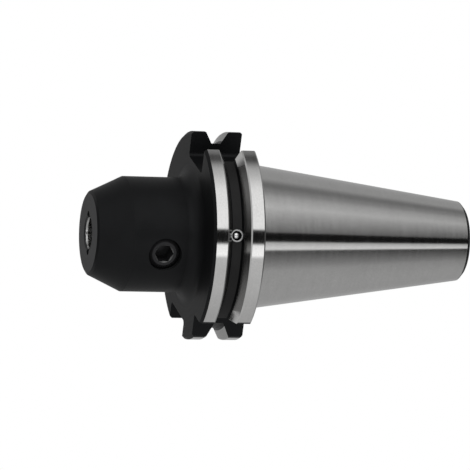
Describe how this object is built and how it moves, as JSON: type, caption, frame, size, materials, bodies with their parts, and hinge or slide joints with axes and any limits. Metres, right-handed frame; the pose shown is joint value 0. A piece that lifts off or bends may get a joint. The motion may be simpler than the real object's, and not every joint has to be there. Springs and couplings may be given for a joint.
{
  "type": "weldon end mill holder",
  "caption": "Steep-taper tool holder that clamps a flatted cylindrical shank in its nose with a side screw; gripper flange with drive slots and coolant passages.",
  "frame": {"origin": "centre of the taper's gauge plane, on the holder's axis", "axes": "+Z along the axis towards the spindle end; the clamping screw faces -Y; the deeper drive slot faces -X"},
  "size_m": [0.0614, 0.0636, 0.1184],
  "materials": {
    "tool_steel": "black oxide on the nose and flange, bright ground on the taper and the rims",
    "screw_steel": "black oxide",
    "plug_steel": "turned",
    "ball_steel": "polished"
  },
  "bodies": {
    "holder": {"holder_body": "tool_steel", "groove_plug_sleeve_screw_side": "plug_steel", "groove_plug_ball_screw_side": "ball_steel", "inlet_screw_screw_side": "screw_steel", "groove_plug_sleeve_far_side": "plug_steel", "groove_plug_ball_far_side": "ball_steel", "inlet_screw_far_side": "screw_steel"},
    "clamp_screw": {"clamping_screw": "screw_steel"}
  },
  "joints": [
    {"name": "clamp_screw_travel", "type": "slide", "parent": "holder", "child": "clamp_screw", "axis": [0, 1, 0], "range_m": [-0.004, 0.0027]}
  ]
}
